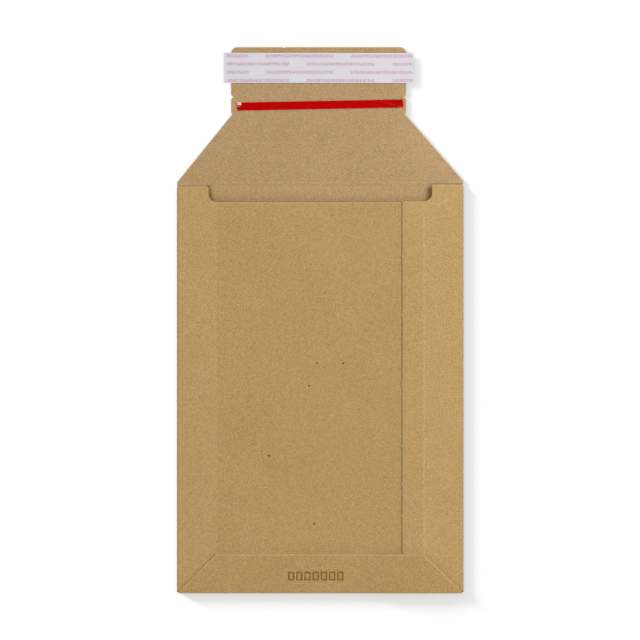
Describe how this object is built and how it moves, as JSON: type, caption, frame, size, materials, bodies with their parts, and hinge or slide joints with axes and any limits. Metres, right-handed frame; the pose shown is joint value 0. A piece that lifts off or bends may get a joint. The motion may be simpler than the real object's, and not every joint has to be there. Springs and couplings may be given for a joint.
{
  "type": "cardboard envelope",
  "caption": "Flat corrugated card envelope lying on its back, front seam up, closing flap open with a peel-off adhesive strip and a tear tape.",
  "frame": {"origin": "centre of the bounding box's underside, with the flap open and flat", "axes": "+X across the envelope to the right as seen from its front, +Y up it towards the closing flap, +Z out of its front"},
  "size_m": [0.245, 0.4668, 0.0116],
  "materials": {
    "kraft_board": "matt brown kraft, fine flute",
    "liner_paper": "smooth silicone-coated white paper",
    "red_film": "glossy red film",
    "clear_adhesive": "clear tacky hot-melt film",
    "cold_glue": "dried pale glue"
  },
  "bodies": {
    "pocket": {"pocket": "kraft_board", "side_seam_glue": "cold_glue", "bottom_flap_glue": "cold_glue"},
    "flap": {"closing_flap": "kraft_board", "adhesive_strip": "clear_adhesive", "release_liner": "liner_paper", "tear_tape": "red_film"}
  },
  "joints": [
    {"name": "flap_fold", "type": "hinge", "parent": "pocket", "child": "flap", "pos_m": [0, 0.1166, 0.00598], "axis": [1, 0, 0], "range_deg": [0, 180]}
  ]
}
